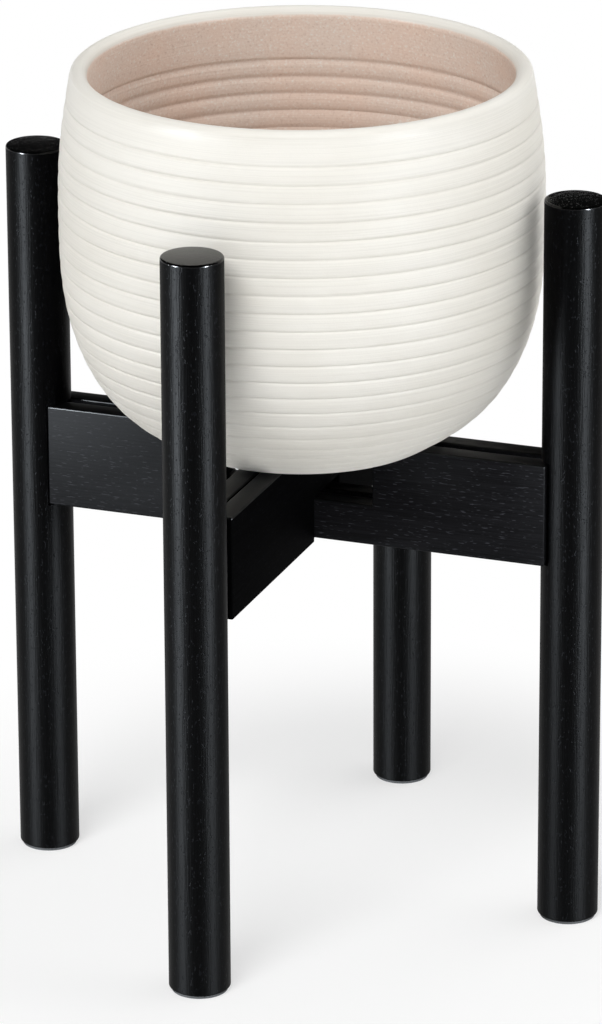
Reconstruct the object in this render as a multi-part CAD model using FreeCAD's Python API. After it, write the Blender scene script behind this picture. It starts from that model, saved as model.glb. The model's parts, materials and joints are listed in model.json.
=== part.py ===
"""Adjustable wooden plant stand with a round pot, all lengths in millimetres.

The stand is four equal arms. An arm is a round leg with one cross board dowelled to it.
The left and right boards lie side by side, and so do the front and back boards. The two
pairs cross in half-lap notches. The side boards' notches are wide, so that the side arms
can slide out to suit a larger pot.
Origin: on the floor, under the crossing. +X right, +Y to the back, +Z up.
"""
import FreeCAD, Part
import os
from collections import namedtuple

from FreeCAD import Vector

# Stand as a whole
stand_height = 395.0
rest_height = 255.0

# Legs: round bars with a flat seat cut across the inner side at board height
leg_diameter = 32.0
leg_edge_round = 1.2
leg_seat_depth = 7.5
leg_seat_clearance = 0.3
leg_offset = 1.6

# Floor pads under the legs
pad_diameter = 29.0
pad_thickness = 1.5

# Cross boards
board_length = 276.0
board_height = 55.0
board_thickness = 11.0
board_edge_round = 0.8

# Half-lap notches: the left and right boards are notched from above
side_notch_width = 88.0
upper_notch_depth = 33.0
lap_clearance = 0.3

# Gap between the two boards of a pair, and from a free end to the leg it faces
side_pair_gap = 6.0
side_free_gap = 1.5
depth_pair_gap = 1.2
depth_free_gap = 9.0

# The front and back boards are dowelled a little lower than the side boards
depth_board_drop = 2.2

# Dowels between a leg and its own board
dowel_diameter = 6.0
dowel_length = 30.0
dowel_in_leg = 12.0
dowel_spacing = 27.0
dowel_chamfer = 0.8
dowel_clearance = 0.1
dowel_end_clearance = 1.0

# Pot: its clearance to the side legs, its outline as shares of its height and its radius
pot_height = 196.0
pot_clearance = 5.75
pot_wall = 9.4
pot_floor = 10.0
pot_height_shares = (0.0, 0.1, 0.22, 0.4, 0.6, 0.8, 1.0)
pot_radius_shares = (0.565, 0.775, 0.9, 0.982, 1.0, 0.991, 0.947)

# Ridges left by the potter's fingers on the outside, between smooth bands at foot and rim
ridge_count = 20
ridge_depth = 0.8
foot_band = 10.4
rim_band = 12.6

# One overrun for every cut
overrun = 5.0

# Sizes that follow from the ones above
leg_radius = leg_diameter / 2
flat_distance = leg_radius - leg_seat_depth
lap_height = rest_height - upper_notch_depth
depth_top = rest_height - depth_board_drop
# The lower notch just takes the side pair at both ends of the boards' short travel
side_pair_width = 2 * board_thickness + side_pair_gap
depth_notch_width = side_pair_width + depth_free_gap + 2 * lap_clearance

# An arm is built with its leg on the -X side, then turned about the upright axis.
# Side is the side of the arm's centre plane that its board lies on.
# Top is the height of its board's upper edge.
# Notch and notch_width are the edge that is notched and how long the notch is.
Arm = namedtuple("Arm", "name turn side pair_gap free_gap top notch notch_width")
ARMS = (
    Arm("left", 0, -1, side_pair_gap, side_free_gap, rest_height, "upper", side_notch_width),
    Arm("right", 180, -1, side_pair_gap, side_free_gap, rest_height, "upper", side_notch_width),
    Arm("front", 90, 1, depth_pair_gap, depth_free_gap, depth_top, "lower", depth_notch_width),
    Arm("back", 270, 1, depth_pair_gap, depth_free_gap, depth_top, "lower", depth_notch_width),
)


def save(node, shape):
    """Check that a node is one sound solid and write it to its own file."""
    if not shape.isValid() or len(shape.Solids) != 1:
        raise ValueError(node + " is not one sound solid")
    shape.Solids[0].exportStep(os.path.join("parts", node + ".step"))
    box = shape.BoundBox
    print(f"{node:20s} {box.XLength:7.1f} {box.YLength:7.1f} {box.ZLength:7.1f} {shape.Volume:11.0f}")


def box_between(low, high):
    """Upright box between two opposite corners."""
    size = high - low
    return Part.makeBox(size.x, size.y, size.z, low)


def leg_axis_x(arm):
    """Place of a leg's axis along its arm, from the crossing."""
    return -(board_length + arm.free_gap) / 2 - flat_distance


def board_middle_y(arm):
    """Middle of a board's thickness, to one side of the arm's centre plane."""
    return arm.side * (arm.pair_gap + board_thickness) / 2


def dowel_heights(arm):
    """The two heights of the dowels, upper and lower, about the board's middle."""
    middle = arm.top - board_height / 2
    return {"upper": middle + dowel_spacing / 2, "lower": middle - dowel_spacing / 2}


def make_dowel(arm, height, clearance=0.0, end_clearance=0.0):
    """A dowel along X, or with the clearances the hole that it fits in."""
    start = leg_axis_x(arm) + flat_distance - dowel_in_leg - end_clearance
    base = Vector(start, board_middle_y(arm), height)
    radius = dowel_diameter / 2 + clearance
    length = dowel_length + 2 * end_clearance
    return Part.makeCylinder(radius, length, base, Vector(1, 0, 0))


def cut_dowel_holes(shape, arm):
    """Drill both dowel holes into a leg or a board."""
    for height in dowel_heights(arm).values():
        shape = shape.cut(make_dowel(arm, height, dowel_clearance, dowel_end_clearance))
    return shape


def make_leg(arm):
    """Round leg with eased ends, a flat seat towards the crossing and two dowel holes."""
    axis_x = leg_axis_x(arm)
    axis_y = arm.side * leg_offset
    base = Vector(axis_x, axis_y, pad_thickness)
    leg = Part.makeCylinder(leg_radius, stand_height - pad_thickness, base)
    rims = [edge for edge in leg.Edges if isinstance(edge.Curve, Part.Circle)]
    leg = leg.makeFillet(leg_edge_round, rims)
    reach = leg_radius + overrun
    seat_low = arm.top - board_height - leg_seat_clearance
    seat_high = arm.top + leg_seat_clearance
    seat = box_between(
        Vector(axis_x + flat_distance, axis_y - reach, seat_low),
        Vector(axis_x + reach, axis_y + reach, seat_high),
    )
    return cut_dowel_holes(leg.cut(seat), arm)


def make_pad(arm):
    """Round floor pad stuck under the leg."""
    base = Vector(leg_axis_x(arm), arm.side * leg_offset, 0)
    return Part.makeCylinder(pad_diameter / 2, pad_thickness, base)


def make_board(arm):
    """Cross board that butts on its leg's seat, with eased edges and a half-lap notch."""
    start = leg_axis_x(arm) + flat_distance
    end = start + board_length
    low_y = board_middle_y(arm) - board_thickness / 2
    high_y = low_y + board_thickness
    bottom = arm.top - board_height
    board = box_between(Vector(start, low_y, bottom), Vector(end, high_y, arm.top))
    eased = [edge for edge in board.Edges if edge.BoundBox.XLength > board_length / 2
             or edge.BoundBox.XMin > end - board_length / 2]
    board = board.makeFillet(board_edge_round, eased)
    middle_x = start + board_length / 2
    low_z = lap_height
    high_z = arm.top + overrun
    if arm.notch == "lower":
        low_z = bottom - overrun
        high_z = lap_height + lap_clearance
    opening = box_between(
        Vector(middle_x - arm.notch_width / 2, low_y - overrun, low_z),
        Vector(middle_x + arm.notch_width / 2, high_y + overrun, high_z),
    )
    return cut_dowel_holes(board.cut(opening), arm)


def make_arm(arm):
    """Build one arm on the -X side, turn it to its place and save its pieces."""
    pieces = {
        "leg_" + arm.name: make_leg(arm),
        "board_" + arm.name: make_board(arm),
        "pad_" + arm.name: make_pad(arm),
    }
    for place, height in dowel_heights(arm).items():
        dowel = make_dowel(arm, height)
        ends = [edge for edge in dowel.Edges if isinstance(edge.Curve, Part.Circle)]
        pieces["dowel_" + arm.name + "_" + place] = dowel.makeChamfer(dowel_chamfer, ends)
    for node, piece in pieces.items():
        piece.rotate(Vector(0, 0, 0), Vector(0, 0, 1), arm.turn)
        save(node, piece)


def inward(curve, parameter, depth):
    """Point at a depth below the outside of the pot, square to its outline."""
    point = curve.value(parameter)
    along = curve.tangent(parameter)[0]
    return point + Vector(-along.z, 0, along.x) * depth


def pot_outline():
    """Smooth curve of the pot's outside, from the foot up to where the lip begins."""
    pot_radius = -leg_axis_x(ARMS[0]) - leg_radius - pot_clearance
    body_height = pot_height - pot_wall / 2
    points = []
    for height_share, radius_share in zip(pot_height_shares, pot_radius_shares):
        height = rest_height + height_share * body_height
        points.append(Vector(radius_share * pot_radius, 0, height))
    curve = Part.BSplineCurve()
    curve.interpolate(points)
    return curve, points


def ridge_edges(curve):
    """Straight slopes between crests on the curve and grooves below it, from foot to lip."""
    ridged = curve.length() - foot_band - rim_band
    pitch = ridged / ridge_count
    corners = [curve.StartPoint]
    for step in range(-1, 2 * ridge_count + 2):
        place = curve.parameterAtDistance(foot_band + pitch * step / 2)
        is_groove = step % 2 == 0
        corners.append(inward(curve, place, ridge_depth if is_groove else 0))
    corners.append(curve.EndPoint)
    return [Part.LineSegment(low, high).toShape() for low, high in zip(corners, corners[1:])]


def make_pot():
    """Round pot turned about the upright axis: ridged wall, half-round lip, flat floor."""
    curve, points = pot_outline()
    edges = ridge_edges(curve)
    lip_start = curve.EndPoint
    lip_end = lip_start - Vector(pot_wall, 0, 0)
    lip_top = (lip_start + lip_end) / 2 + Vector(0, 0, pot_wall / 2)
    edges.append(Part.Arc(lip_start, lip_top, lip_end).toShape())

    inside = [lip_end]
    for point in points[-2:0:-1]:
        inside.append(inward(curve, curve.parameter(point), pot_wall))
    floor_edge = Vector(points[0].x, 0, rest_height + pot_floor)
    inside.append(floor_edge)
    inner_curve = Part.BSplineCurve()
    inner_curve.interpolate(inside)
    edges.append(inner_curve.toShape())

    floor_middle = Vector(0, 0, floor_edge.z)
    base_middle = Vector(0, 0, rest_height)
    edges.append(Part.LineSegment(floor_edge, floor_middle).toShape())
    edges.append(Part.LineSegment(floor_middle, base_middle).toShape())
    edges.append(Part.LineSegment(base_middle, curve.StartPoint).toShape())
    outline = Part.Face(Part.Wire(edges))
    return outline.revolve(Vector(0, 0, 0), Vector(0, 0, 1), 360)


os.makedirs("parts", exist_ok=True)
for one_arm in ARMS:
    make_arm(one_arm)
save("pot", make_pot())
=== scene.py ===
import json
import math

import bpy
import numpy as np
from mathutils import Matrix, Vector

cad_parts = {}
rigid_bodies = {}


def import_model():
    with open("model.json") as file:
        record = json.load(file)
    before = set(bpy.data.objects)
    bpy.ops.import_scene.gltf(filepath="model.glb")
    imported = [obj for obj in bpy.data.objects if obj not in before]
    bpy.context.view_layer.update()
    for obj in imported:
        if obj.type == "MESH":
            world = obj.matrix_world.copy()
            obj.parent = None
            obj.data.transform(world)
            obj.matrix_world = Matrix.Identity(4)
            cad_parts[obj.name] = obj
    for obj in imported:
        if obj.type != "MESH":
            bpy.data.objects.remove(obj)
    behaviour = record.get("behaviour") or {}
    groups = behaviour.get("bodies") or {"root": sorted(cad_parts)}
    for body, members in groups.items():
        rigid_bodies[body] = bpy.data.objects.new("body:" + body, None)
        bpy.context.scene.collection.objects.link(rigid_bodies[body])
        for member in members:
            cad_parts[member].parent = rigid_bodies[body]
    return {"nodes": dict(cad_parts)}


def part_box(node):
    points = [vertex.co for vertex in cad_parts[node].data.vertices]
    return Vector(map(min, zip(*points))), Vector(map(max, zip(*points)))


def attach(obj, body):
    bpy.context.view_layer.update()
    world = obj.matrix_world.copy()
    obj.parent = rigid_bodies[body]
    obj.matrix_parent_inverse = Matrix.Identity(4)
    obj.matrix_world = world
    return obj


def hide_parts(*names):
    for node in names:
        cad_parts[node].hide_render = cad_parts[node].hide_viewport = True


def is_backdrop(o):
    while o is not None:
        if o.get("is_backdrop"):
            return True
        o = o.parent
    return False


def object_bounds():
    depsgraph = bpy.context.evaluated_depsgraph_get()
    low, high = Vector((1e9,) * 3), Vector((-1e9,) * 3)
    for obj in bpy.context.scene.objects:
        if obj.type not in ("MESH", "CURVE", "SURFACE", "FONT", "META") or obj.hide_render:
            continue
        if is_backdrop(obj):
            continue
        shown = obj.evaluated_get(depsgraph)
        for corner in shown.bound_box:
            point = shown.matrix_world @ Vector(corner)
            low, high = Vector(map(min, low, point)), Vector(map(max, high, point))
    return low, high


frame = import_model()

# %% [markdown]
# # A black wooden plant stand with a ridged pot
# The stand is four equal arms. Each arm is a round leg with one cross board dowelled to it.
# The boards lie in pairs and cross in notches, so the stand can be set wider.
# A pot with ridges from the potter's fingers stands on the boards, between the leg tops.
# The measured frame gives every piece its place. This script gives every piece its looks.

cad_low, cad_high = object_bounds()
print("frame size", [round(v, 4) for v in (cad_high - cad_low)])

ARMS = ("left", "right", "front", "back")

# %% [markdown]
# ## Nodes without repeating ourselves
# Materials and Geometry Nodes are both trees of nodes with links. Short helpers keep the
# trees readable: one adds a node with its settings and inputs, and the others add a step of
# arithmetic, a fade between two limits and a mix of two colours.

# %% Helpers for node trees


def add(tree, kind, inputs=None, **settings):
    """Add a node, set its options, and link or fill its inputs."""
    node = tree.nodes.new(kind)
    node.location = (200 * len(tree.nodes), 0)
    for name, value in settings.items():
        setattr(node, name, value)
    for name, value in (inputs or {}).items():
        if isinstance(value, bpy.types.NodeSocket):
            tree.links.new(value, node.inputs[name])
        else:
            node.inputs[name].default_value = value
    return node


def sum_of(tree, operation, first, second=0.0, third=0.0):
    """One step of arithmetic on numbers, as a Math node."""
    node = add(tree, "ShaderNodeMath", {0: first, 1: second, 2: third}, operation=operation)
    return node.outputs[0]


def fade(tree, value, start, end, first=0.0, last=1.0, kind="SMOOTHSTEP"):
    """Go from the first number to the last one while a value goes from start to end."""
    node = add(tree, "ShaderNodeMapRange", {
        "Value": value, "From Min": start, "From Max": end, "To Min": first, "To Max": last},
        interpolation_type=kind)
    return node.outputs[0]


def mix(tree, share, first, second, blend="MIX"):
    """Mix two colours by a share, plainly or in another blend."""
    node = add(tree, "ShaderNodeMix", {"Factor": share, 6: first, 7: second},
               data_type="RGBA", blend_type=blend)
    return node.outputs[2]


# %% [markdown]
# ## The camera
# The photograph is taken from the front right, a little above the pot, with a long lens.
# Its angle and distance were measured from the legs and boards in the picture. A camera
# looks along its own -Z axis, so its three axes are built first and put in one matrix.

# %% Camera
PHOTO_WIDTH = 602
PHOTO_HEIGHT = 1024
camera_azimuth = math.radians(20.49)
camera_elevation = math.radians(20.365)
camera_roll = math.radians(-0.263)
camera_distance = 3.2
camera_target_height = 0.2081
focal_pixels = 6105.0
centre_pixel_x = 303.4
sensor_mm = 36.0

camera_back = Vector((
    math.sin(camera_azimuth) * math.cos(camera_elevation),
    -math.cos(camera_azimuth) * math.cos(camera_elevation),
    math.sin(camera_elevation),
))
camera_right = Vector((math.cos(camera_azimuth), math.sin(camera_azimuth), 0.0))
camera_up = camera_back.cross(camera_right)
roll_turn = Matrix.Rotation(camera_roll, 3, camera_back)
side_step = (PHOTO_WIDTH / 2 - centre_pixel_x) * camera_distance / focal_pixels
camera_target = Vector((0, 0, camera_target_height)) + camera_right * side_step

camera_data = bpy.data.cameras.new("photo_camera")
camera_data.sensor_width = sensor_mm
camera_data.lens = focal_pixels / PHOTO_HEIGHT * sensor_mm
camera = bpy.data.objects.new("photo_camera", camera_data)
bpy.context.scene.collection.objects.link(camera)
axes = Matrix((roll_turn @ camera_right, roll_turn @ camera_up, camera_back)).transposed()
camera_spot = camera_target + camera_back * camera_distance
camera.matrix_world = Matrix.Translation(camera_spot) @ axes.to_4x4()
bpy.context.scene.camera = camera
print("lens in mm", round(camera_data.lens, 1))

# %% [markdown]
# ## Floor and room
# The stand was photographed on white. The floor is a pale paint that takes soft shadows,
# mixed with a glow of strength 1, which is plain white. Near the stand just over half of
# it glows, and further out all of it. The Light Path node lets only the camera and
# reflections see the glow, so it adds no light to the stand. The room is white near the
# horizon and dim above, so black tops stay black.

# %% Floor and surroundings
floor_size = 14.0
floor_paint = (0.93, 0.93, 0.93, 1)
plain_white = (1, 1, 1, 1)
floor_near_share = 0.55
floor_near_radius = 0.17
floor_far_radius = 0.36
horizon_white_to = 0.03
horizon_dim_from = 0.10
dim_room = 0.02


def make_floor():
    """A wide pale floor that isn't part of the stand."""
    half = floor_size / 2
    mesh = bpy.data.meshes.new("studio_floor")
    corners = [(-half, -half, 0), (half, -half, 0), (half, half, 0), (-half, half, 0)]
    mesh.from_pydata(corners, [], [(0, 1, 2, 3)])
    floor = bpy.data.objects.new("studio_floor", mesh)
    bpy.context.scene.collection.objects.link(floor)
    material = bpy.data.materials.new("white_floor")
    material.use_nodes = True
    tree = material.node_tree
    tree.nodes.clear()
    path = add(tree, "ShaderNodeLightPath")
    seen = sum_of(tree, "MAXIMUM", path.outputs["Is Camera Ray"], path.outputs["Is Glossy Ray"])
    seen = sum_of(tree, "MAXIMUM", seen, path.outputs["Is Transmission Ray"])
    place = add(tree, "ShaderNodeTexCoord").outputs["Object"]
    distance = add(tree, "ShaderNodeVectorMath", {0: place}, operation="LENGTH").outputs["Value"]
    plain = fade(tree, distance, floor_near_radius, floor_far_radius, first=floor_near_share)
    share = sum_of(tree, "MULTIPLY", seen, plain)
    paint = add(tree, "ShaderNodeBsdfDiffuse", {"Color": floor_paint})
    white = add(tree, "ShaderNodeEmission", {"Color": plain_white, "Strength": 1.0})
    mixed = add(tree, "ShaderNodeMixShader",
                {0: share, 1: paint.outputs[0], 2: white.outputs[0]})
    add(tree, "ShaderNodeOutputMaterial", {"Surface": mixed.outputs[0]})
    mesh.materials.append(material)
    floor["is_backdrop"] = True


def make_world():
    """A room that is white near the horizon and dim above."""
    world = bpy.data.worlds.new("studio_room")
    world.use_nodes = True
    tree = world.node_tree
    tree.nodes.clear()
    direction = add(tree, "ShaderNodeTexCoord").outputs["Generated"]
    height = add(tree, "ShaderNodeSeparateXYZ", {0: direction}).outputs["Z"]
    strength = fade(tree, height, horizon_white_to, horizon_dim_from, first=1.0, last=dim_room)
    light = add(tree, "ShaderNodeBackground", {"Color": plain_white, "Strength": strength})
    add(tree, "ShaderNodeOutputWorld", {"Surface": light.outputs[0]})
    bpy.context.scene.world = world


make_floor()
make_world()
bpy.context.scene.view_settings.view_transform = "Standard"
print("floor", floor_size, "m wide, plain white from", floor_far_radius, "m on")

# %% [markdown]
# ## Lamps
# Each black leg shows two soft upright highlights, slightly bluish, so two tall softboxes
# stand beside the camera. A round bar mirrors a light at twice the angle of its surface,
# so the places of the highlights give the angles of the softboxes. They make highlights
# only. The light on the pot comes from one large soft light from above, a little to the
# left of the camera, from a wide even fill and from a low fill on the right.

# %% Lamps
softbox_distance = 1.5
softbox_height = 0.32
softbox_width = 0.22
softbox_length = 0.64
softbox_tint = (0.86, 0.93, 1.0)
aim = Vector((0, 0, 0.25))


def lamp_object(name, kind, watts):
    """A lamp of one kind, linked to the scene."""
    data = bpy.data.lights.new(name, kind)
    data.energy = watts
    lamp = bpy.data.objects.new(name, data)
    bpy.context.scene.collection.objects.link(lamp)
    return lamp


def softbox(name, side_degrees, watts):
    """A tall lamp beside the camera, turned to the stand, that only gives highlights."""
    lamp = lamp_object(name, "AREA", watts)
    lamp.data.shape = "RECTANGLE"
    lamp.data.size = softbox_width
    lamp.data.size_y = softbox_length
    lamp.data.color = softbox_tint
    angle = camera_azimuth + math.radians(side_degrees)
    spot = Vector((math.sin(angle), -math.cos(angle), 0)) * softbox_distance
    lamp.location = spot + Vector((0, 0, softbox_height))
    lamp.rotation_euler = (lamp.location - aim).to_track_quat("Z", "Y").to_euler()
    lamp.visible_diffuse = False


def soft_sky(name, strength, spread_degrees, side_degrees, height_degrees):
    """A wide soft light from far away that leaves no reflection of its own."""
    lamp = lamp_object(name, "SUN", strength)
    lamp.data.angle = math.radians(spread_degrees)
    lamp.visible_glossy = False
    side = camera_azimuth + math.radians(side_degrees)
    height = math.radians(height_degrees)
    toward = Vector((
        math.sin(side) * math.cos(height),
        -math.cos(side) * math.cos(height),
        math.sin(height),
    ))
    lamp.rotation_euler = toward.to_track_quat("Z", "Y").to_euler()


softbox("tall_softbox_left", side_degrees=-57, watts=130.0)
softbox("tall_softbox_right", side_degrees=45, watts=105.0)
soft_sky("large_high_light", 2.0, spread_degrees=30, side_degrees=-24, height_degrees=48)
soft_sky("even_fill", 1.15, spread_degrees=170, side_degrees=48, height_degrees=62)
soft_sky("side_fill", 1.1, spread_degrees=70, side_degrees=108, height_degrees=26)
print("lamps", len(bpy.data.lights))

# %% [markdown]
# ## Black lacquer on wood
# The legs and boards are wood under a thin black lacquer. The fibres and pores still show
# as fine lines along the grain, because the lacquer sinks into them, and the pores keep
# small pale flecks. Noise stretched along the grain makes both: its long sides run with
# the board or leg. On the sawn tops of the legs the noise is even and shows as dots, as
# real end grain does. These tops and the upper edges of the boards are glossier than the
# faces, and the upper edges of the boards get a darker black than their faces, which is
# painted shade. The front and back boards are duller than the side boards, and their darker
# black is painted shade. Round bars are sanded while they spin. The fine rings that this
# leaves draw each highlight out along the leg, so the legs get an anisotropic gloss: rough
# along the bar and smooth round it.

# %% Start of a material, noise, ramps and greys


def new_finish(name):
    """A material, its tree, its shader and the coordinates that its patterns follow."""
    material = bpy.data.materials.new(name)
    material.use_nodes = True
    tree = material.node_tree
    shader = tree.nodes["Principled BSDF"]
    place = add(tree, "ShaderNodeTexCoord").outputs["Object"]
    return material, tree, shader, place


def noise_along(tree, coordinates, stretch, detail=2.0):
    """Noise stretched by a scale for each axis."""
    mapping = add(tree, "ShaderNodeMapping", {"Vector": coordinates, "Scale": stretch})
    noise = add(tree, "ShaderNodeTexNoise",
                {"Vector": mapping.outputs[0], "Scale": 1.0, "Detail": detail})
    return noise.outputs["Fac"]


def ramp(tree, value, stops):
    """Turn a number into another, or a colour, along straight steps."""
    node = add(tree, "ShaderNodeValToRGB", {"Fac": value})
    while len(node.color_ramp.elements) < len(stops):
        node.color_ramp.elements.new(0.5)
    for element, (place, colour) in zip(node.color_ramp.elements, stops):
        element.position = place
        element.color = colour if len(colour) == 4 else (*colour, 1)
    return node.outputs["Color"]


def grey(level):
    """A colour of one even level."""
    return (level, level, level)


# %% Lacquered wood
# How often the noise repeats in a metre, along X, Y and Z, for each way that grain can run
FIBRES = {"X": (35, 1400, 1400), "Y": (1400, 35, 1400), "Z": (1400, 1400, 60),
          "end": (700, 700, 700)}
PORES = {"X": (240, 1300, 1300), "Y": (1300, 240, 1300), "Z": (800, 800, 420),
         "end": (900, 900, 900)}
CLOUDS = (9, 9, 9)
cloud_roughness = 0.16
fibre_roughness = 0.10
pore_sink = -0.8
lacquer_bump = 0.35


def lacquered_wood(name, grain, black, roughness, specular, relief=0.00012, dust=2.2):
    """Black lacquer, from dark to light, over wood with its grain running one way."""
    dark, light = black
    material, tree, shader, place = new_finish(name)
    fibres = noise_along(tree, place, FIBRES[grain], 3.0)
    pores = noise_along(tree, place, PORES[grain], 1.0)
    clouds = noise_along(tree, place, CLOUDS)

    lacquer = ramp(tree, fibres, [(0.35, dark), (0.7, light)])
    pore_mask = ramp(tree, pores, [(0.64, grey(0.0)), (0.71, grey(1.0))])
    dusty = tuple(dust * level for level in light)
    flecked = mix(tree, pore_mask, lacquer, (*dusty, 1))
    tree.links.new(flecked, shader.inputs["Base Color"])

    smoothest = roughness - (cloud_roughness + fibre_roughness) / 2
    worn = sum_of(tree, "MULTIPLY_ADD", clouds, cloud_roughness, smoothest)
    rough = sum_of(tree, "MULTIPLY_ADD", fibres, fibre_roughness, worn)
    tree.links.new(rough, shader.inputs["Roughness"])
    sunk = sum_of(tree, "MULTIPLY_ADD", pore_mask, pore_sink, fibres)
    bump = add(tree, "ShaderNodeBump",
               {"Height": sunk, "Strength": lacquer_bump, "Distance": relief})
    tree.links.new(bump.outputs[0], shader.inputs["Normal"])
    shader.inputs["Specular IOR Level"].default_value = specular
    return material


# %% Gloss of a turned bar
spun_share = 0.7


def spun_gloss(material):
    """Draw the highlights out along the upright axis of a bar."""
    tree = material.node_tree
    shader = tree.nodes["Principled BSDF"]
    upright = add(tree, "ShaderNodeVectorTransform", {0: (0, 0, 1)}, vector_type="VECTOR",
                  convert_from="OBJECT", convert_to="WORLD")
    shader.inputs["Anisotropic"].default_value = spun_share
    tree.links.new(upright.outputs[0], shader.inputs["Tangent"])


# %% The lacquers of this stand
side_board_black = ((0.0040, 0.0041, 0.0048), (0.0088, 0.0090, 0.0106))
# Darker black for the front and back boards: painted shade.
depth_board_black_painted_shade = ((0.0003, 0.0003, 0.0004), (0.0018, 0.0019, 0.0022))
leg_black = ((0.0001, 0.0001, 0.0002), (0.0007, 0.0008, 0.0011))
# Black of the sawn leg tops, and of the boards' upward faces, where it is painted shade.
end_and_top_shade_black = ((0.0001, 0.0001, 0.0001), (0.0008, 0.0007, 0.0006))
BOARD_LACQUER = {
    "X": lacquered_wood("black_lacquer_along_x", "X", side_board_black,
                        roughness=0.52, specular=0.035, relief=0.00010, dust=3.6),
    # The front and back boards: duller lacquer, with a darker black that is painted shade.
    "Y": lacquered_wood("black_lacquer_painted_shade_along_y", "Y", depth_board_black_painted_shade,
                        roughness=0.70, specular=0.005),
}
# Upward board faces: glossier lacquer with a darker black, which is painted shade.
EDGE_GLOSS_AND_SHADE = {
    "X": lacquered_wood("black_lacquer_edge_and_shade_x", "X", end_and_top_shade_black,
                        roughness=0.40, specular=0.15, relief=0.00003),
    "Y": lacquered_wood("black_lacquer_edge_and_shade_y", "Y", end_and_top_shade_black,
                        roughness=0.36, specular=0.18, relief=0.00003),
}
leg_lacquer = lacquered_wood("black_lacquer_turned", "Z", leg_black,
                             roughness=0.50, specular=0.045, relief=0.0003, dust=5.0)
end_lacquer = lacquered_wood("black_lacquer_end_grain", "end", end_and_top_shade_black,
                             roughness=0.17, specular=0.24, relief=0.0002, dust=8.0)
spun_gloss(leg_lacquer)
lacquers = [*BOARD_LACQUER.values(), *EDGE_GLOSS_AND_SHADE.values(), leg_lacquer, end_lacquer]
print("lacquers", [lacquer.name for lacquer in lacquers])

# %% [markdown]
# ## Hidden dowels and floor pads
# The dowels are plain beech and the pads are black rubber. Both are small and mostly
# hidden, so the frame's own solids stay and only take a finish.

# %% Beech and rubber
BEECH_RAYS = (900, 900, 900)
beech_tones = [(0.4, (0.50, 0.33, 0.19)), (0.65, (0.66, 0.47, 0.30))]
RUBBER_GRAIN = (1500, 1500, 1500)
rubber_tones = [(0.35, grey(0.004)), (0.75, grey(0.012))]


def plain_beech():
    """Pale wood with small dark rays."""
    material, tree, shader, place = new_finish("plain_beech")
    rays = noise_along(tree, place, BEECH_RAYS, 3.0)
    tree.links.new(ramp(tree, rays, beech_tones), shader.inputs["Base Color"])
    rough = sum_of(tree, "MULTIPLY_ADD", rays, 0.2, 0.5)
    tree.links.new(rough, shader.inputs["Roughness"])
    return material


def pad_rubber():
    """Matte black rubber with a fine grain and a little dust."""
    material, tree, shader, place = new_finish("pad_rubber")
    grain = noise_along(tree, place, RUBBER_GRAIN)
    tree.links.new(ramp(tree, grain, rubber_tones), shader.inputs["Base Color"])
    rough = sum_of(tree, "MULTIPLY_ADD", grain, 0.2, 0.65)
    tree.links.new(rough, shader.inputs["Roughness"])
    bump = add(tree, "ShaderNodeBump", {"Height": grain, "Strength": 0.4, "Distance": 0.0001})
    tree.links.new(bump.outputs[0], shader.inputs["Normal"])
    return material


def paint(node, material):
    """Give a solid of the frame one finish."""
    mesh = frame["nodes"][node].data
    mesh.materials.clear()
    mesh.materials.append(material)


beech = plain_beech()
rubber = pad_rubber()
for arm in ARMS:
    paint("pad_" + arm, rubber)
    paint("dowel_" + arm + "_upper", beech)
    paint("dowel_" + arm + "_lower", beech)
print("painted", 3 * len(ARMS), "solids of the frame")

# %% [markdown]
# ## Putting a finished piece in its place
# A piece stands for a solid of the frame: it is named after that solid, rides on its body
# and hides it. Edges sharper than about 30 degrees stay crisp, all others are shaded round.

# %% Finishing a piece
crisp_angle = math.radians(32)


def place_piece(name, mesh, body, node, materials):
    """Make an object of a mesh, shade it, and let it stand for a solid of the frame."""
    mesh.name = name
    mesh.materials.clear()
    for material in materials:
        mesh.materials.append(material)
    mesh.shade_smooth()
    mesh.set_sharp_from_angle(angle=crisp_angle)
    piece = bpy.data.objects.new(name, mesh)
    bpy.context.scene.collection.objects.link(piece)
    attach(piece, body)
    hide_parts(node)
    return piece


def plain_mesh(piece):
    """The mesh that an object's modifiers give, free of the modifiers."""
    bpy.context.view_layer.update()
    seen = piece.evaluated_get(bpy.context.evaluated_depsgraph_get())
    mesh = bpy.data.meshes.new_from_object(seen)
    source = piece.data
    bpy.data.objects.remove(piece)
    if source.users == 0:
        bpy.data.batch_remove([source])
    return mesh


# %% [markdown]
# ## Turning a shape from its outline
# Legs and pot are both round, so both start as an outline: a line of points in the XZ
# plane, each at its radius and height. A Geometry Nodes tree turns it: a flat grid gets
# one column for each point of the outline and one row for each step round the axis, and
# every grid point then moves to its place. The seam and the poles are merged at the end.

# %% Sockets, start and end of a turning tree
merge_distance = 0.000002


def socket(tree, name, kind, default=None, way="INPUT"):
    """Add a named input or output to a tree."""
    made = tree.interface.new_socket(name=name, in_out=way, socket_type="NodeSocket" + kind)
    if default is not None:
        made.default_value = default
    return made


def start_tree(name):
    """A Geometry Nodes tree with an outline coming in and a shape going out."""
    tree = bpy.data.node_groups.new(name, "GeometryNodeTree")
    socket(tree, "Outline", "Geometry")
    socket(tree, "Shape", "Geometry", way="OUTPUT")
    socket(tree, "Steps round", "Int", 96)
    socket(tree, "Finish", "Material")
    return tree


def end_tree(tree, given, shape):
    """Merge the seam and poles, set the finish and give the shape out."""
    merged = add(tree, "GeometryNodeMergeByDistance",
                 {"Geometry": shape, "Distance": merge_distance})
    real = add(tree, "GeometryNodeRealizeInstances", {"Geometry": merged.outputs[0]})
    finish = add(tree, "GeometryNodeSetMaterial",
                 {"Geometry": real.outputs[0], "Material": given.outputs["Finish"]})
    add(tree, "NodeGroupOutput", {"Shape": finish.outputs[0]})


# %% From an outline to a grid


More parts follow.
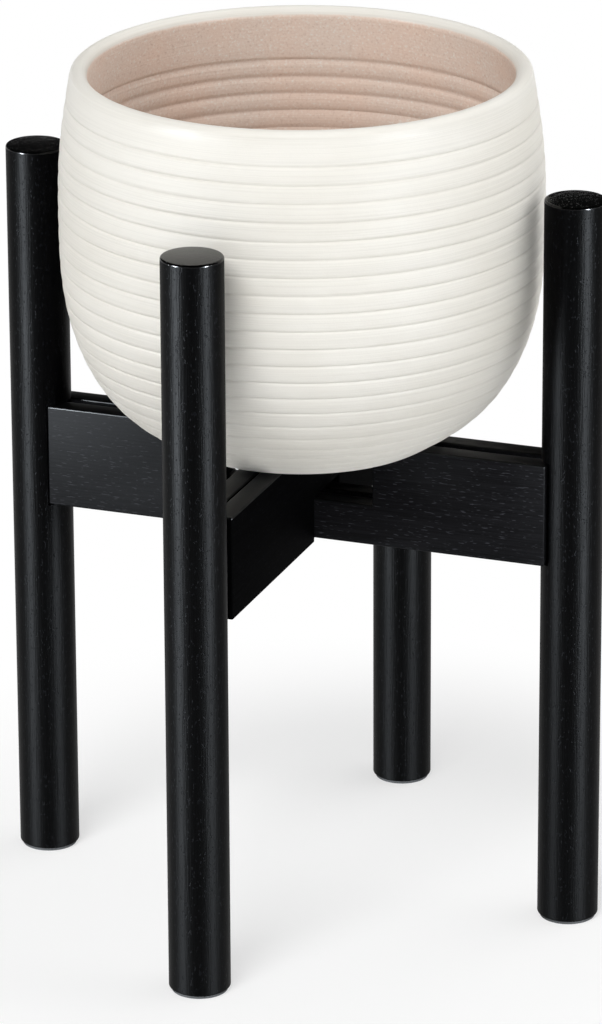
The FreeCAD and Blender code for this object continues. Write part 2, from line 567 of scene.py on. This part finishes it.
def grid_of_outline(tree, given):
    """The grid, the angle of each of its rows, and its place in the outline."""
    outline = given.outputs["Outline"]
    size = add(tree, "GeometryNodeAttributeDomainSize", {"Geometry": outline})
    count = size.outputs["Point Count"]
    rows = sum_of(tree, "ADD", given.outputs["Steps round"], 1)
    grid = add(tree, "GeometryNodeMeshGrid", {"Vertices X": rows, "Vertices Y": count})
    index = add(tree, "GeometryNodeInputIndex").outputs[0]
    step = sum_of(tree, "FLOOR", sum_of(tree, "DIVIDE", sum_of(tree, "ADD", index, 0.5), count))
    column = sum_of(tree, "SUBTRACT", index, sum_of(tree, "MULTIPLY", step, count))
    turn = sum_of(tree, "DIVIDE", step, given.outputs["Steps round"])
    angle = sum_of(tree, "MULTIPLY", turn, 2 * math.pi)
    return grid.outputs["Mesh"], angle, column


def from_outline(tree, given, column, name, kind):
    """A value that the outline carries, read at each grid point's column."""
    if name == "position":
        value = add(tree, "GeometryNodeInputPosition").outputs[0]
    else:
        carried = add(tree, "GeometryNodeInputNamedAttribute", {"Name": name}, data_type=kind)
        value = carried.outputs[0]
    sample = add(tree, "GeometryNodeSampleIndex",
                 {"Geometry": given.outputs["Outline"], "Value": value, "Index": column},
                 data_type=kind, domain="POINT")
    return sample.outputs[0]


# %% Running a tree on an outline


def run_tree(tree, outline, values):
    """Put the tree on an outline, set its named inputs and return the plain mesh."""
    holder = bpy.data.objects.new("outline", outline)
    bpy.context.scene.collection.objects.link(holder)
    modifier = holder.modifiers.new("turning", "NODES")
    modifier.node_group = tree
    for item in tree.interface.items_tree:
        if item.name in values:
            modifier[item.identifier] = values[item.name]
    return plain_mesh(holder)


def outline_mesh(points, **attributes):
    """A line of points (radius, height) as a mesh, with values that it carries."""
    mesh = bpy.data.meshes.new("outline")
    mesh.from_pydata([(radius, 0, height) for radius, height in points], [], [])
    for name, values in attributes.items():
        kind = "FLOAT_VECTOR" if len(np.shape(values)) == 2 else "FLOAT"
        field = "vector" if kind == "FLOAT_VECTOR" else "value"
        layer = mesh.attributes.new(name, kind, "POINT")
        layer.data.foreach_set(field, np.ravel(values).astype(np.float32))
    return mesh


# %% [markdown]
# ## The legs
# A leg is a round bar, eased at both ends, with one flat seat sawn across its inner side
# for the board. It is turned from an outline, and then every point of the seat's height
# that lies beyond the flat is moved back to it. Two rings at one height make the ledges.
# The sawn top and its eased rim get the glossier end-grain finish.

# %% Legs
leg_ease = 0.0012
leg_seat_depth = 0.0075
leg_seat_clearance = 0.0003
ease_steps = 5
leg_steps_round = 96
board_of = {arm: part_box("board_" + arm) for arm in ARMS}


def leg_tree():
    """Turns a bar and presses its seat flat on the side towards +X."""
    tree = start_tree("Turned leg")
    socket(tree, "Flat", "Float")
    given = add(tree, "NodeGroupInput")
    grid, angle, column = grid_of_outline(tree, given)
    point = add(tree, "ShaderNodeSeparateXYZ",
                {0: from_outline(tree, given, column, "position", "FLOAT_VECTOR")})
    seat = from_outline(tree, given, column, "seat", "FLOAT")
    across = sum_of(tree, "MULTIPLY", point.outputs["X"], sum_of(tree, "COSINE", angle))
    aside = sum_of(tree, "MULTIPLY", point.outputs["X"], sum_of(tree, "SINE", angle))
    flat = sum_of(tree, "MINIMUM", across, given.outputs["Flat"])
    shift = sum_of(tree, "MULTIPLY", seat, sum_of(tree, "SUBTRACT", flat, across))
    place = add(tree, "ShaderNodeCombineXYZ",
                {0: sum_of(tree, "ADD", across, shift), 1: aside, 2: point.outputs["Z"]})
    moved = add(tree, "GeometryNodeSetPosition", {"Geometry": grid, "Position": place.outputs[0]})
    end_tree(tree, given, moved.outputs[0])
    return tree


def leg_outline(radius, low, high, seat_low, seat_high):
    """Outline of a leg from the middle of its foot to the middle of its top."""
    bends = [math.pi / 2 * step / ease_steps for step in range(ease_steps + 1)]
    inner = radius - leg_ease
    foot = [(inner + leg_ease * math.sin(bend), low + leg_ease - leg_ease * math.cos(bend))
            for bend in bends]
    top = [(inner + leg_ease * math.cos(bend), high - leg_ease + leg_ease * math.sin(bend))
           for bend in bends]
    ledges = [(radius, seat_low), (radius, seat_low), (radius, seat_high), (radius, seat_high)]
    in_seat = [0.0, 1.0, 1.0, 0.0]
    points = [(0.0, low)] + foot + ledges + top + [(0.0, high)]
    seat = [0.0] * (1 + len(foot)) + in_seat + [0.0] * (len(top) + 1)
    return outline_mesh(points, seat=seat)


def make_leg(arm, tree, turn):
    """Turn one leg, turn its seat to the crossing and move it to its axis."""
    low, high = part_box("leg_" + arm)
    radius = min(high.x - low.x, high.y - low.y) / 2
    board_low, board_high = board_of[arm]
    seat_low = board_low.z - leg_seat_clearance
    seat_high = board_high.z + leg_seat_clearance
    outline = leg_outline(radius, low.z, high.z, seat_low, seat_high)
    mesh = run_tree(tree, outline, {
        "Steps round": leg_steps_round, "Flat": radius - leg_seat_depth, "Finish": leg_lacquer})
    mesh.transform(Matrix.Rotation(math.radians(turn), 4, "Z"))
    mesh.transform(Matrix.Translation(((low.x + high.x) / 2, (low.y + high.y) / 2, 0)))
    leg = place_piece("leg_" + arm + "_turned", mesh, arm + "_arm", "leg_" + arm,
                      [leg_lacquer, end_lacquer])
    for face in leg.data.polygons:
        if face.center.z > high.z - leg_ease:
            face.material_index = 1
    return leg


TURN = {"left": 0, "right": 180, "front": 90, "back": 270}
turned_leg = leg_tree()
for arm in ARMS:
    leg = make_leg(arm, turned_leg, TURN[arm])
    print(leg.name, len(leg.data.polygons), "faces")

# %% [markdown]
# ## The cross boards
# Each board is sawn from flat stock with one notch. The side pair is notched upwards, wide
# enough to slide. The other pair is notched downwards, just wide enough to take the side
# pair. A board's side view is one polygon, so it is drawn twice, one thickness apart, and
# joined. Seen from outside, the corners of every face run anticlockwise, so all faces look
# outwards. All edges are eased with a Bevel modifier, as sandpaper does, and faces that
# look upwards get the glossier edge finish, with a darker black that is painted shade.

# %% Boards
side_notch_width = 0.088
side_notch_depth = 0.033
lap_clearance = 0.0003
board_ease = 0.0009
board_ease_segments = 4
upward_from = 0.05
NOTCHED_UPWARD = ("left", "right")
lap_height = board_of["left"][1].z - side_notch_depth
side_pair_front = min(board_of[arm][0].y for arm in NOTCHED_UPWARD)
side_pair_back = max(board_of[arm][1].y for arm in NOTCHED_UPWARD)
side_pair_width = side_pair_back - side_pair_front


def notch_width(middle, upward):
    """The side pair's wide notch, or one that takes the side pair beside the board's middle."""
    if upward:
        return side_notch_width
    return side_pair_width + 2 * abs(middle) + 2 * lap_clearance


def board_side_view(start, end, low, high, upward):
    """Corners of the board seen from its side, round the notch."""
    middle = (start + end) / 2
    half = notch_width(middle, upward) / 2
    left, right = middle - half, middle + half
    if upward:
        return [(start, low), (end, low), (end, high), (right, high), (right, lap_height),
                (left, lap_height), (left, high), (start, high)]
    roof = lap_height + lap_clearance
    return [(start, low), (left, low), (left, roof), (right, roof), (right, low), (end, low),
            (end, high), (start, high)]


def board_block(low, high, upward):
    """The side view twice, one board's thickness apart, joined by a face along every edge."""
    along = 0 if upward else 1
    across = 1 - along
    outline = board_side_view(low[along], high[along], low.z, high.z, upward)
    corners = []
    for side in (low[across], high[across]):
        for distance, height in outline:
            corner = [0.0, 0.0, height]
            corner[along] = distance
            corner[across] = side
            corners.append(corner)
    count = len(outline)
    near = list(range(count))
    faces = [near, [count + k for k in reversed(near)]]
    for k in near:
        following = (k + 1) % count
        faces.append([following, k, k + count, following + count])
    if along == 1:
        faces = [face[::-1] for face in faces]
    mesh = bpy.data.meshes.new("board")
    mesh.from_pydata(corners, [], faces)
    return mesh


def make_board(arm):
    """Saw one board and ease its edges."""
    low, high = board_of[arm]
    upward = arm in NOTCHED_UPWARD
    holder = bpy.data.objects.new("board", board_block(low, high, upward))
    bpy.context.scene.collection.objects.link(holder)
    bevel = holder.modifiers.new("eased edges", "BEVEL")
    bevel.width = board_ease
    bevel.segments = board_ease_segments
    bevel.limit_method = "ANGLE"
    grain = "X" if upward else "Y"
    board = place_piece("board_" + arm + "_sawn", plain_mesh(holder), arm + "_arm", "board_" + arm,
                        [BOARD_LACQUER[grain], EDGE_GLOSS_AND_SHADE[grain]])
    # Upward faces take the glossier lacquer, whose darker black is painted shade.
    for face in board.data.polygons:
        if face.normal.z > upward_from:
            face.material_index = 1
    return board


for arm in ARMS:
    board = make_board(arm)
    print(board.name, len(board.data.polygons), "faces")

# %% [markdown]
# ## The pot's glaze
# Outside, the pot is covered with a matte off-white slip that shows the fine lines of the
# wheel. The lip is wiped smooth and glossy, and inside a speckled, pinkish beige glaze
# starts just below it. Lower down inside, the glaze turns darker. The shape carries two
# values for this: how far a point lies inside the lip, and how deep it lies in a groove,
# where the colour is darkened a little as painted shade.

# %% Tones of the pot
slip_tones = [(0.3, (0.79, 0.765, 0.70)), (0.7, (0.84, 0.82, 0.765))]
# Painted shade: darker slip in the grooves and on the line under the lip.
slip_groove_shade = (0.46, 0.44, 0.39, 1)
wheel_line_tones = [(0.38, grey(0.965)), (0.52, grey(1.0))]
glaze_tones = [(0.28, (0.78, 0.62, 0.54)), (0.40, (0.90, 0.745, 0.66)),
               (0.58, (0.93, 0.78, 0.695)), (0.68, (0.97, 0.90, 0.85))]
# Painted shade: darker glaze in the rings inside.
glaze_groove_shade = (0.60, 0.44, 0.37, 1)
glaze_patches = [(0.35, (1.0, 0.97, 0.93)), (0.65, (0.97, 1.0, 0.99))]
# Darker tone that the glaze takes further down inside the pot.
glaze_low_inside_tone = (0.42, 0.34, 0.29, 1)
slip_groove_shade_share = 0.16
glaze_groove_shade_share = 0.15
glaze_darkening_share = 0.45
print("tones of the slip and the glaze", len(slip_tones), len(glaze_tones))

# %% Where the glaze changes, and how rough it is
# Depths are metres inside the lip's crest, less than nothing outside it
border_depth = (0.0056, 0.0070)
border_wobble = 0.002
glaze_darkening_depth = (0.02, 0.08)
lip_gloss_depth = (-0.012, -0.004)
lip_gloss = -0.26
matte_roughness = 0.50
grain_roughness = 0.12
pot_specular = 0.08
grain_bump = 0.25
slip_bump = 0.5
slip_relief = 0.0003
# How often each noise repeats in a metre, along X, Y and Z
POT_NOISE = {"clouds": (14, 14, 22), "wheel lines": (9, 9, 1300), "grains": (1100, 1100, 1100),
             "border": (60, 60, 60), "specks": (750, 750, 750), "patches": (25, 25, 25)}
print("glaze starts", 1000 * border_depth[0], "mm inside the lip")

# %% Glazed stoneware


def glazed_stoneware():
    """Off-white slip outside, pinkish speckled glaze inside, with a soft border."""
    material, tree, shader, place = new_finish("glazed_stoneware")
    depth = add(tree, "ShaderNodeAttribute", attribute_name="inside_depth").outputs["Fac"]
    groove = add(tree, "ShaderNodeAttribute", attribute_name="groove").outputs["Fac"]

    clouds = noise_along(tree, place, POT_NOISE["clouds"], 3.0)
    wheel_lines = noise_along(tree, place, POT_NOISE["wheel lines"])
    grains = noise_along(tree, place, POT_NOISE["grains"])
    uneven = noise_along(tree, place, POT_NOISE["border"])
    wobble = sum_of(tree, "MULTIPLY_ADD", uneven, border_wobble, -border_wobble / 2)

    slip = ramp(tree, clouds, slip_tones)
    slip = mix(tree, 1.0, slip, ramp(tree, wheel_lines, wheel_line_tones), "MULTIPLY")
    # Painted shade in the grooves.
    slip = mix(tree, sum_of(tree, "MULTIPLY", groove, slip_groove_shade_share), slip, slip_groove_shade)

    specks = noise_along(tree, place, POT_NOISE["specks"], 3.0)
    patches = noise_along(tree, place, POT_NOISE["patches"])
    glaze = ramp(tree, specks, glaze_tones)
    # Painted shade in the rings.
    glaze = mix(tree, sum_of(tree, "MULTIPLY", groove, glaze_groove_shade_share), glaze, glaze_groove_shade)
    glaze = mix(tree, 1.0, glaze, ramp(tree, patches, glaze_patches), "MULTIPLY")
    # The glaze gets darker further down inside the pot.
    darkening = fade(tree, depth, *glaze_darkening_depth, last=glaze_darkening_share, kind="LINEAR")
    glaze = mix(tree, darkening, glaze, glaze_low_inside_tone)

    border = fade(tree, sum_of(tree, "ADD", depth, wobble), *border_depth)
    tree.links.new(mix(tree, border, slip, glaze), shader.inputs["Base Color"])

    lip = fade(tree, depth, *lip_gloss_depth)
    matte = sum_of(tree, "MULTIPLY_ADD", grains, grain_roughness, matte_roughness)
    rough = sum_of(tree, "MULTIPLY_ADD", lip, lip_gloss, matte)
    tree.links.new(rough, shader.inputs["Roughness"])

    fine = sum_of(tree, "MULTIPLY_ADD", grains, grain_bump, wheel_lines)
    bump = add(tree, "ShaderNodeBump",
               {"Height": fine, "Strength": slip_bump, "Distance": slip_relief})
    tree.links.new(bump.outputs[0], shader.inputs["Normal"])
    shader.inputs["Specular IOR Level"].default_value = pot_specular
    return material


stoneware = glazed_stoneware()
print("glaze nodes", len(stoneware.node_tree.nodes))

# %% [markdown]
# ## The pot's outline
# The wall follows a smooth curve through a few points, from the foot up to the lip, and
# comes back down one wall's thickness further in. The points are shares of the pot's
# height and radius, which the frame gives. A cubic spline joins them without kinks. The
# grooves need many points and the bands between them few, so the outline's points are
# gathered close together at every groove.

# %% Sizes of the pot
pot_wall = 0.0094
pot_floor = 0.010
height_shares = (0.0, 0.1, 0.22, 0.4, 0.6, 0.8, 1.0)
radius_shares = (0.565, 0.775, 0.9, 0.982, 1.0, 0.991, 0.947)
ridge_count = 20
foot_band = 0.0104
rim_band = 0.0126
groove_reach = 0.0010
ring_band = 0.0255
ring_reach = 0.0022
floor_step = 0.006
outside_step = 0.0021
inside_step = 0.0030
inner_guides = 12
spline_points = 4000
pot_low, pot_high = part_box("pot")
pot_radius = (pot_high.x - pot_low.x) / 2
body_top = pot_high.z - pot_wall / 2
print("pot radius and height in mm", round(1000 * pot_radius, 1),
      round(1000 * (pot_high.z - pot_low.z), 1))

# %% Smooth lines through points


def run_along(line):
    """Distance of every point of a line from its start."""
    return np.concatenate([[0], np.cumsum(np.linalg.norm(np.diff(line, axis=0), axis=1))])


def spline_slopes(places, values):
    """Second derivatives of a natural cubic spline."""
    size = len(places)
    gaps = np.diff(places)
    matrix = np.eye(size)
    right = np.zeros(size)
    for k in range(1, size - 1):
        matrix[k, k - 1:k + 2] = gaps[k - 1], 2 * (gaps[k - 1] + gaps[k]), gaps[k]
        rise_after = (values[k + 1] - values[k]) / gaps[k]
        rise_before = (values[k] - values[k - 1]) / gaps[k - 1]
        right[k] = 6 * (rise_after - rise_before)
    return np.linalg.solve(matrix, right)


def smooth_line(points):
    """Many points on a cubic spline through the given ones."""
    points = np.array(points)
    places = run_along(points)
    fine = np.linspace(0, places[-1], spline_points)
    columns = []
    for values in points.T:
        bends = spline_slopes(places, values)
        k = np.clip(np.searchsorted(places, fine) - 1, 0, len(places) - 2)
        gap = places[k + 1] - places[k]
        a = (places[k + 1] - fine) / gap
        b = (fine - places[k]) / gap
        curve = a * values[k] + b * values[k + 1]
        columns.append(curve + ((a**3 - a) * bends[k] + (b**3 - b) * bends[k + 1]) * gap**2 / 6)
    return np.stack(columns, 1)


# %% Points gathered at the grooves
GATHERED_AT = (-1.5, -1.0, -0.5, -0.15, 0.15, 0.5, 1.0, 1.5)
closest_share = 0.2


def picked(line, distances):
    """The points of a line that lie at the given distances along it."""
    run = run_along(line)
    return np.stack([np.interp(distances, run, line[:, k]) for k in (0, 1)], 1)


def gathered(length, first, last, count, reach, between):
    """Distances along a wall: close together at each groove, wider between the grooves."""
    places = [0.0, length]
    for groove in np.linspace(first, last, count + 1):
        places += [groove + reach * share for share in GATHERED_AT]
    places += list(np.arange(between / 2, length, between))
    places = np.unique(np.clip(np.round(places, 5), 0, length))
    wide_enough = np.concatenate([[True], np.diff(places) > reach * closest_share])
    return places[wide_enough]


def square_out(line):
    """Directions square to a line of points, to its right-hand side."""
    along = np.gradient(line, axis=0)
    along /= np.linalg.norm(along, axis=1)[:, None]
    return np.stack([along[:, 1], -along[:, 0]], 1)


# %% Outside and inside of the wall
outside_points = [(share * pot_radius, pot_low.z + rise * (body_top - pot_low.z))
                  for share, rise in zip(radius_shares, height_shares)]
outside_line = smooth_line(outside_points)
wall_length = run_along(outside_line)[-1]
outside = picked(outside_line, gathered(
    wall_length, foot_band, wall_length - rim_band, ridge_count, groove_reach, outside_step))
shell = picked(outside_line, np.linspace(0, wall_length, inner_guides))[1:-1]
guides = [tuple(point) for point in (shell - square_out(shell) * pot_wall)][::-1]
# A point nearer to the pot's floor than this would pull the curve below it
lowest_guide = pot_low.z + pot_floor * 1.8
inside_line = smooth_line(
    [(outside[-1][0] - pot_wall, body_top)]
    + [point for point in guides if point[1] > lowest_guide]
    + [(outside[0][0], pot_low.z + pot_floor)])
inner_length = run_along(inside_line)[-1]
ridge_pitch = (wall_length - rim_band - foot_band) / ridge_count
ring_count = round((inner_length - ring_band) / ridge_pitch)
ring_pitch = (inner_length - ring_band) / ring_count
inside = picked(inside_line, gathered(
    inner_length, ring_band, inner_length, ring_count, ring_reach, inside_step))
print("widest radius", round(float(outside[:, 0].max()), 5), "of", round(pot_radius, 5))
print("ridge pitch in mm", round(1000 * ridge_pitch, 2), "rings inside", ring_count)

# %% [markdown]
# ## Ridges by rule
# The ridges repeat at an even pitch up the wall. Each one is a flat cushion between two
# narrow grooves. Two simple steps of arithmetic give both: the distance to the nearest
# groove, squared, makes the cushion, and a short straight slope makes the groove's sharp
# edge. Noise lets the grooves wander a little and go deeper and shallower round the pot,
# as a hand does, and one fixed seed keeps it the same each time. The rings inside follow
# the same rule with rounder grooves.

# %% Inputs of the pot's tree
pot_steps_round = 144
groove_unevenness = 1.5
lip_line_shade = 0.6
# Swells, depths and the wobble are in metres, each reach is a share of the pitch
RIDGE_RULE = {
    "Ridges": float(ridge_count),
    "Ridge swell": 0.00032,
    "Groove depth": 0.00042,
    "Groove reach": groove_reach / ridge_pitch,
    "Rings inside": float(ring_count),
    "Ring swell": 0.0007,
    "Ring depth": 0.0002,
    "Ring reach": ring_reach / ring_pitch,
    "Lip line depth": 0.0003,
    "Hand wobble": 0.0016,
    "Seed": 3.0,
}
print("inputs of the pot's tree", len(RIDGE_RULE) + 2)

# %% The pot's tree


def pot_tree():
    """Turns the outline and presses the ridges and rings into it."""
    tree = start_tree("Thrown pot")
    for name, value in RIDGE_RULE.items():
        socket(tree, name, "Float", value)
    given = add(tree, "NodeGroupInput")
    grid, angle, column = grid_of_outline(tree, given)
    point = from_outline(tree, given, column, "position", "FLOAT_VECTOR")
    outward = from_outline(tree, given, column, "outward", "FLOAT_VECTOR")
    along = from_outline(tree, given, column, "along", "FLOAT_VECTOR")
    wall = from_outline(tree, given, column, "wall_share", "FLOAT")
    ring = from_outline(tree, given, column, "ring_share", "FLOAT")
    on_wall = from_outline(tree, given, column, "on_wall", "FLOAT")
    on_inside = from_outline(tree, given, column, "on_inside", "FLOAT")
    lip_line = from_outline(tree, given, column, "lip_line", "FLOAT")
    depth = from_outline(tree, given, column, "lip_depth", "FLOAT")

    def hand_noise(stretch, seed_step):
        """Slow noise round the pot that differs from groove to groove."""
        height = sum_of(tree, "MULTIPLY", sum_of(tree, "ADD", wall, ring), stretch)
        around = add(tree, "ShaderNodeCombineXYZ", {
            0: sum_of(tree, "COSINE", angle), 1: sum_of(tree, "SINE", angle), 2: height})
        seed = sum_of(tree, "ADD", given.outputs["Seed"], seed_step)
        noise = add(tree, "ShaderNodeTexNoise", {
            "Vector": around.outputs[0], "W": seed, "Scale": 1.1, "Detail": 2.0},
            noise_dimensions="4D").outputs[0]
        return sum_of(tree, "SUBTRACT", noise, 0.5)

    def pressed(share, here, count, swell, deepest, reach):
        """How deep a point is pressed, and how far down in a groove it lies."""
        phase = sum_of(tree, "MULTIPLY", share, count)
        whole = sum_of(tree, "MAXIMUM", sum_of(tree, "ROUND", phase), 0.0)
        nearest = sum_of(tree, "MINIMUM", whole, count)
        distance = sum_of(tree, "ABSOLUTE", sum_of(tree, "SUBTRACT", phase, nearest))
        inward = sum_of(tree, "MINIMUM", sum_of(tree, "MULTIPLY", distance, 2.0), 1.0)
        edge = sum_of(tree, "SUBTRACT", 1.0, inward)
        cushion = sum_of(tree, "MULTIPLY", sum_of(tree, "MULTIPLY", edge, edge), swell)
        slope = sum_of(tree, "SUBTRACT", 1.0, sum_of(tree, "DIVIDE", distance, reach))
        groove = sum_of(tree, "MULTIPLY", sum_of(tree, "MAXIMUM", slope, 0.0), here)
        cushion = sum_of(tree, "MULTIPLY", cushion, here)
        return sum_of(tree, "MULTIPLY_ADD", groove, deepest, cushion), groove

    unsteady = hand_noise(stretch=70.0, seed_step=7.0)
    uneven = sum_of(tree, "MULTIPLY_ADD", unsteady, groove_unevenness, 1.0)
    deepest = sum_of(tree, "MULTIPLY", given.outputs["Groove depth"], uneven)
    ridge, in_groove = pressed(wall, on_wall, given.outputs["Ridges"], given.outputs["Ridge swell"],
                               deepest, given.outputs["Groove reach"])
    hollow, in_ring = pressed(ring, on_inside, given.outputs["Rings inside"],
                              given.outputs["Ring swell"], given.outputs["Ring depth"],
                              given.outputs["Ring reach"])
    walls = sum_of(tree, "ADD", ridge, hollow)
    press = sum_of(tree, "MULTIPLY_ADD", lip_line, given.outputs["Lip line depth"], walls)
    press = sum_of(tree, "MULTIPLY", press, -1.0)
    on_either = sum_of(tree, "ADD", on_wall, on_inside)
    wander = sum_of(tree, "MULTIPLY", given.outputs["Hand wobble"], on_either)
    shift = sum_of(tree, "MULTIPLY", hand_noise(stretch=24.0, seed_step=0.0), wander)
    offset = add(tree, "ShaderNodeVectorMath", {0: outward, "Scale": press}, operation="SCALE")
    slide = add(tree, "ShaderNodeVectorMath", {0: along, "Scale": shift}, operation="SCALE")
    placed = add(tree, "ShaderNodeVectorMath", {0: point, 1: offset.outputs[0]}, operation="ADD")
    placed = add(tree, "ShaderNodeVectorMath", {0: placed.outputs[0], 1: slide.outputs[0]},
                 operation="ADD")
    turned = add(tree, "ShaderNodeVectorRotate", {"Vector": placed.outputs[0], "Angle": angle},
                 rotation_type="Z_AXIS")
    moved = add(tree, "GeometryNodeSetPosition", {"Geometry": grid, "Position": turned.outputs[0]})
    kept = moved.outputs[0]
    # The groove value drives the painted shade in the grooves, rings and the line under the lip.
    grooves = sum_of(tree, "ADD", in_groove, in_ring)
    lines = sum_of(tree, "MULTIPLY_ADD", lip_line, lip_line_shade, grooves)
    for name, value in (("groove", lines), ("inside_depth", depth)):
        kept = add(tree, "GeometryNodeStoreNamedAttribute",
                   {"Geometry": kept, "Name": name, "Value": value}, data_type="FLOAT").outputs[0]
    end_tree(tree, given, kept)
    return tree


# %% [markdown]
# ## The whole outline, and the finished pot
# The outline starts at the middle of the pot's underside. It goes up the outside, over the
# half-round lip, down the inside and back to the middle. Each point carries what the tree
# needs: its direction square to the wall, how far up the outside or down the inside it
# lies, and where the grooves fade out. The pot then stands for the frame's solid.

# %% The whole outline
lip_steps = 20
fade_length = 0.008
lip_line_reach = 0.0011
lip_line_above = 0.0013


def faded(run, low, high):
    """One between two distances, falling to nothing at both of them."""
    return np.clip(np.minimum(run - low, high - run) / fade_length, 0, 1)


def whole_outline():
    """The closed outline with the values that the tree and the glaze need."""
    radii = np.arange(0, outside[0][0] - floor_step / 2, floor_step)
    under = [(radius, pot_low.z) for radius in radii]
    lip = []
    for step in range(1, lip_steps):
        bend = math.pi * step / lip_steps
        lip.append((outside[-1][0] - pot_wall / 2 + pot_wall / 2 * math.cos(bend),
                    body_top + pot_wall / 2 * math.sin(bend)))
    bed = [(radius, pot_low.z + pot_floor) for radius in radii[::-1]]
    points = np.array([*under, *outside, *lip, *inside, *bed])
    run = run_along(points)
    first, last = len(under), len(under) + len(outside)
    inner_first, inner_last = last + len(lip), last + len(lip) + len(inside)
    wall_low, wall_high = run[first] + foot_band, run[last - 1] - rim_band
    rings_low, rings_high = run[inner_first] + ring_band, run[inner_last - 1]
    index = np.arange(len(points))
    outer = (index >= first) & (index < last)
    inner = (index >= inner_first) & (index < inner_last)
    square = square_out(points)
    zero = np.zeros(len(points))
    return outline_mesh(
        points,
        outward=np.stack([square[:, 0], zero, square[:, 1]], 1),
        along=np.stack([-square[:, 1], zero, square[:, 0]], 1),
        wall_share=np.where(outer, (run - wall_low) / (wall_high - wall_low), 0),
        ring_share=np.where(inner, (run - rings_low) / (rings_high - rings_low), 0),
        on_wall=np.where(outer, faded(run, run[first] - fade_length / 2, run[last - 1]), 0),
        on_inside=np.where(inner, faded(run, rings_low - fade_length, rings_high), 0),
        lip_line=np.clip(1 - np.abs(run - run[last - 1] - lip_line_above) / lip_line_reach, 0, 1),
        lip_depth=run - run[last + lip_steps // 2 - 1])


# %% Turning the pot
pot_mesh = run_tree(pot_tree(), whole_outline(), {
    **RIDGE_RULE, "Steps round": pot_steps_round, "Finish": stoneware})
pot = place_piece("pot_thrown", pot_mesh, "pot", "pot", [stoneware])
print("pot triangles", sum(len(face.vertices) - 2 for face in pot.data.polygons))

# %% [markdown]
# ## Checking the size
# The dressed stand has to fit the measured one. Both boxes are written down and compared.

# %% Sizes and finish
new_low, new_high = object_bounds()
differences = [*(new_low - cad_low), *(new_high - cad_high)]
print("difference in mm", [round(1000 * value, 2) for value in differences])
